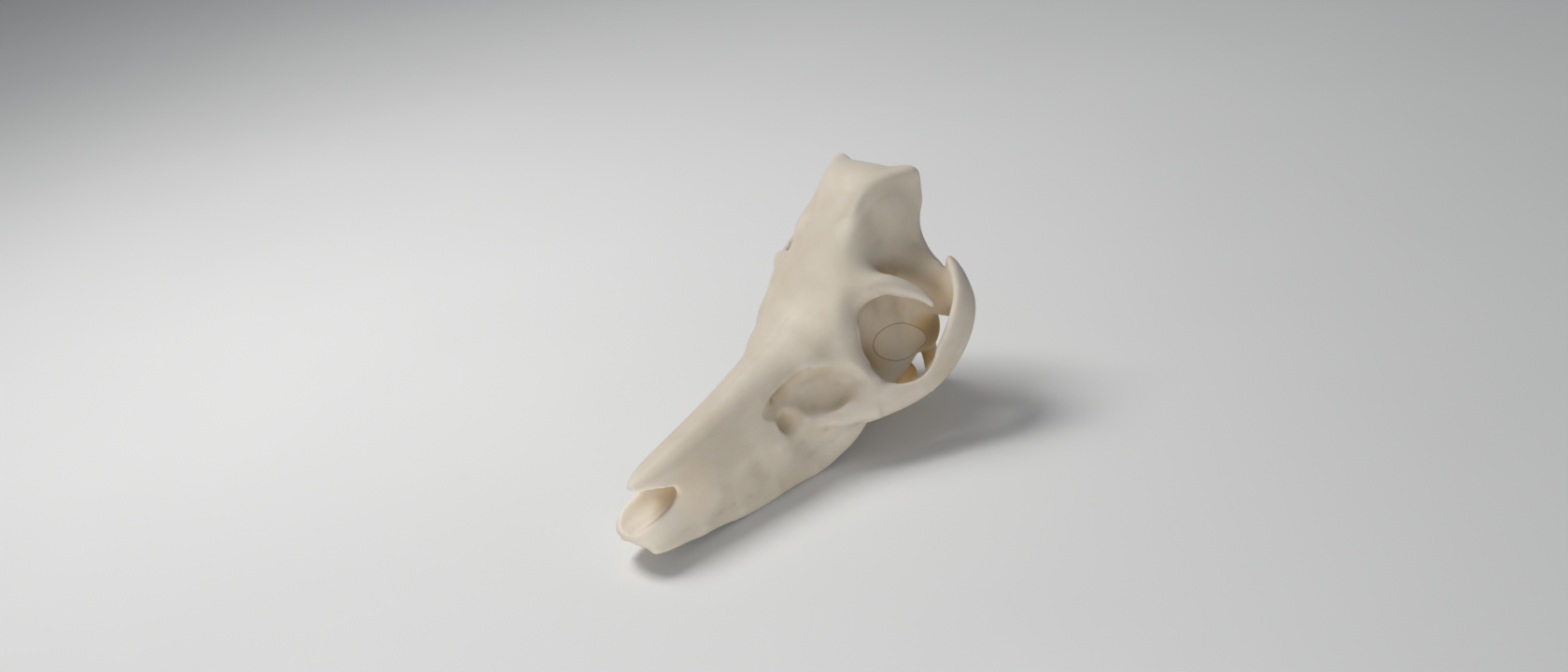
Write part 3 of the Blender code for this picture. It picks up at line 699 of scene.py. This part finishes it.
# Uneven patches over the whole skull
bonePatches = {
    "broad": {"Scale": 18, "Detail": 2, "Low": 0.3, "High": 0.75},
    "cloudy": {"Scale": 75, "Detail": 5, "Low": 0.35, "High": 0.7},
    "streaks": {"Scale": 130, "Detail": 3, "Low": 0.4, "High": 0.75},
    "fine": {"Scale": 800, "Detail": 3, "Low": 0.3, "High": 0.7},
}
# From where to where on the skin's measures a tone sets in: the lighter ridges are a painted highlight, and the
# darker creases, hollows and deep hollows are painted shade
boneSpans = {
    # painted highlight on ridges, and painted shade in creases
    "ridged": ("crease", -0.012, -0.06), "paintedCreaseShade": ("crease", 0.02, 0.10),
    # painted shade in hollows, and darker painted shade in deep hollows
    "hollowed": ("shelter", 0.08, 0.5), "paintedDeepShade": ("shelter", 0.5, 1.0),
}
# Tones laid over the pale bone, from the bottom up: where, how strongly, and which colour
# Over the bone's own uneven patches lie a painted highlight on ridges, painted shade in hollows, deep hollows,
# creases and along the socket's oval line, painted light in the nose and a painted ochre glow
boneLayers = [
    ("broad", 0.45, "tan"), ("cloudy", 0.18, "tan"), ("streaks", 0.14, "tan"), ("fine", 0.05, "shadeAndMottleBrown"),
    ("ridged", 0.5, "ridgeHighlight"), ("hollowed", 0.95, "shadeAndMottleBrown"), ("paintedNoseLight", 0.85, "paintedNoseLight"),
    ("paintedGlow", 0.8, "glowOchre"), ("paintedDeepShade", 0.8, "deep"), ("paintedCreaseShade", 0.5, "crease"),
    ("inOval", 0.6, "tan"), ("onOval", 0.6, "deep")]
# The surface itself, with heights in metres
boneSurface = {
    "streakLength": 0.18,  # scale along the skull, so that the streaks run lengthwise
    "roughness": (0.48, 0.64),
    "grainHeight": 0.00004,
    "waveHeight": 0.00006,
    "ovalDepth": 0.0004,
    "poreScale": 380,
    "poreSpan": (0.05, 0.2),
    "bump": 0.7,
}
# What is the same all over the bone, on the shader's own sockets
boneShader = {
    "Specular IOR Level": 0.35,
    "Subsurface Weight": 0.3,
    "Subsurface Radius": (1.0, 0.55, 0.25),
    "Subsurface Scale": 0.006,
}
# The thin oval line on the inner wall of each eye socket, in metres; "wall" says how far from the
# middle plane it sets in, is full, is still full and has ended
# the oval line is a shallow groove, and its dark tone is painted shade
socketLine = {
    "middle": (0, 0.0951, 0.0577), "tilt": -24, "long": 0.0225, "tall": 0.0137, "width": 0.035,
    "edge": 0.98, "wall": (0.020, 0.024, 0.043, 0.046)}


def ovalMasks(tree, place):
    # Where a place lies inside the oval of the eye socket's wall, and where on its line
    ring = put(tree, "ShaderNodeMapping", {
        "Vector": place, "Location": socketLine["middle"], "Rotation": (math.radians(socketLine["tilt"]), 0, 0),
        "Scale": (1, socketLine["long"], socketLine["tall"])}, vector_type="TEXTURE").outputs[0]
    around = put(tree, "ShaderNodeSeparateXYZ", {0: ring}).outputs
    radius = mathed(tree, "SQRT", mathed(tree, "ADD", mathed(tree, "MULTIPLY", around[1], around[1]),
                                         mathed(tree, "MULTIPLY", around[2], around[2])))
    off = mathed(tree, "ABSOLUTE", mathed(tree, "SUBTRACT", radius, 1.0))
    across = mathed(tree, "ABSOLUTE", around[0])
    inner, full, stillFull, outer = socketLine["wall"]
    onWall = mathed(tree, "MULTIPLY", ranged(tree, across, inner, full), ranged(tree, across, outer, stillFull))
    inside = mathed(tree, "MULTIPLY", ranged(tree, radius, socketLine["edge"], 1.0, 1, 0), onWall)
    line = mathed(tree, "MULTIPLY", ranged(tree, off, 0, socketLine["width"], 1, 0), onWall)
    return inside, line


def boneMaterial(mottle):
    material = bpy.data.materials.new("dry_bone")
    material.use_nodes = True
    tree = material.node_tree
    shader = tree.nodes["Principled BSDF"]
    place = put(tree, "ShaderNodeTexCoord").outputs["Object"]
    masks = {}
    for name, settings in bonePatches.items():
        length = boneSurface["streakLength"] if name == "streaks" else 1
        vector = put(tree, "ShaderNodeMapping", {"Vector": place, "Scale": (1, length, 1)}).outputs[0]
        patches = put(tree, "ShaderNodeGroup", {"Vector": vector, **settings}, node_tree=mottle)
        masks[name] = patches.outputs["Value"]
    for name in ("shelter", "crease", "paintedGlow", "paintedNoseLight"):
        masks[name] = put(tree, "ShaderNodeAttribute", attribute_name=name).outputs["Fac"]
    # inside the nose the painted light lifts the painted shade and highlights
    awayFromNoseLight = mathed(tree, "SUBTRACT", 1.0, masks["paintedNoseLight"], clamp=True)
    for name, (measure, start, full) in boneSpans.items():
        masks[name] = ranged(tree, mathed(tree, "MULTIPLY", masks[measure], awayFromNoseLight), start, full)
    masks["inOval"], masks["onOval"] = ovalMasks(tree, place)

    def part(value, amount):
        return mathed(tree, "MULTIPLY", value, amount)

    tone = boneColours["pale"]
    for mask, share, colour in boneLayers:
        tone = mixed(tree, part(masks[mask], share), tone, boneColours[colour])
    tree.links.new(tone, shader.inputs["Base Color"])
    for name, value in boneShader.items():
        shader.inputs[name].default_value = value
    smoother, rougher = boneSurface["roughness"]
    tree.links.new(ranged(tree, masks["cloudy"], 0, 1, smoother, rougher), shader.inputs["Roughness"])

    cells = put(tree, "ShaderNodeTexVoronoi", {"Vector": place, "Scale": boneSurface["poreScale"]})
    pores = ranged(tree, cells.outputs["Distance"], *boneSurface["poreSpan"], -1, 0)
    height = mathed(tree, "ADD", part(masks["fine"], boneSurface["grainHeight"]),
                    part(masks["cloudy"], boneSurface["waveHeight"]))
    height = mathed(tree, "ADD", height, part(pores, boneSurface["grainHeight"]))
    height = mathed(tree, "ADD", height, part(masks["onOval"], -boneSurface["ovalDepth"]))
    bump = put(tree, "ShaderNodeBump", {"Height": height, "Strength": boneSurface["bump"], "Distance": 1.0})
    tree.links.new(bump.outputs["Normal"], shader.inputs["Normal"])
    return material


tableFinish = {
    "size": 14,  # metres
    "below": 0.0003,  # metres under the skull's feet
    "colour": (0.87, 0.88, 0.89, 1),
    "shade": (0.84, 0.85, 0.86, 1),
    "patches": 1.5,
    "roughness": 0.9,
}


def addTable(mottle):
    def build(bm):
        bmesh.ops.create_grid(bm, x_segments=4, y_segments=4, size=tableFinish["size"] / 2)

    table = addMesh("table", build, bpy.context.scene.collection)
    table.data.transform(Matrix.Translation((0, 0, -tableFinish["below"])))
    material = bpy.data.materials.new("pale_table")
    material.use_nodes = True
    tree = material.node_tree
    shader = tree.nodes["Principled BSDF"]
    place = put(tree, "ShaderNodeTexCoord").outputs["Object"]
    patches = put(tree, "ShaderNodeGroup", {"Vector": place, "Scale": tableFinish["patches"]}, node_tree=mottle)
    tone = mixed(tree, patches.outputs["Value"], tableFinish["colour"], tableFinish["shade"])
    tree.links.new(tone, shader.inputs["Base Color"])
    shader.inputs["Roughness"].default_value = tableFinish["roughness"]
    table.data.materials.append(material)


viewSettings = {
    "place": (0.76154, -0.69140, 0.62389),
    "turn": (62.551, 8.964, 42.295),  # degrees
    "lens": 39.044,
    "aim": (-0.03, 0.05, 0.07),
}
# Each light stands off the skull by (right, up, towards the camera) as the picture has them
lights = {
    "key": {"from": (-0.82, 1.22, 0.26), "size": 0.6, "watts": 15, "colour": (1.0, 0.985, 0.95)},
    "fill": {"from": (-0.06, -0.5, 0.7), "size": 0.7, "watts": 5.6, "colour": (1.0, 0.99, 0.97)},
}
surround = {"colour": (0.95, 0.97, 1.0, 1), "strength": 0.2}


def addCamera():
    camera = bpy.data.objects.new("camera", bpy.data.cameras.new("camera"))
    camera.location = viewSettings["place"]
    camera.rotation_euler = [math.radians(angle) for angle in viewSettings["turn"]]
    camera.data.lens = viewSettings["lens"]
    camera.data.sensor_width = 36
    camera.data.sensor_fit = "HORIZONTAL"
    camera.data.clip_start = 0.01
    bpy.context.scene.collection.objects.link(camera)
    bpy.context.scene.camera = camera
    return camera


def addLights(camera):
    aim = Vector(viewSettings["aim"])
    axes = camera.rotation_euler.to_matrix()
    for name, setting in lights.items():
        data = bpy.data.lights.new(name, "AREA")
        data.size = setting["size"]
        data.energy = setting["watts"]
        data.color = setting["colour"]
        lamp = bpy.data.objects.new(name, data)
        lamp.location = aim + axes @ Vector(setting["from"])
        lamp.rotation_euler = (lamp.location - aim).to_track_quat("Z", "Y").to_euler()
        bpy.context.scene.collection.objects.link(lamp)
    world = bpy.data.worlds.new("surround")
    world.use_nodes = True
    world.node_tree.nodes["Background"].inputs["Color"].default_value = surround["colour"]
    world.node_tree.nodes["Background"].inputs["Strength"].default_value = surround["strength"]
    bpy.context.scene.world = world
    bpy.context.scene.view_settings.view_transform = "Standard"


mottle = mottleGroup()
bone = boneMaterial(mottle)
print("joining the forms of the skull")
skin = makeSkin(bone)
laidToRest(skin)
print("the skin has", len(skin.data.vertices), "points and", len(skin.data.polygons), "faces")
tinted(skin)
skin.data.materials.clear()
skin.data.materials.append(bone)
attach(skin, "root")
paired = [f"{name}_{side}" for name in ("nasal", "incisive", "maxilla", "zygomatic", "frontal", "temporal")
          for side in ("left", "right")]
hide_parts("braincase", *paired)
print("setting the table, the camera and the lights")
addTable(mottle)
addLights(addCamera())
bpy.context.view_layer.update()
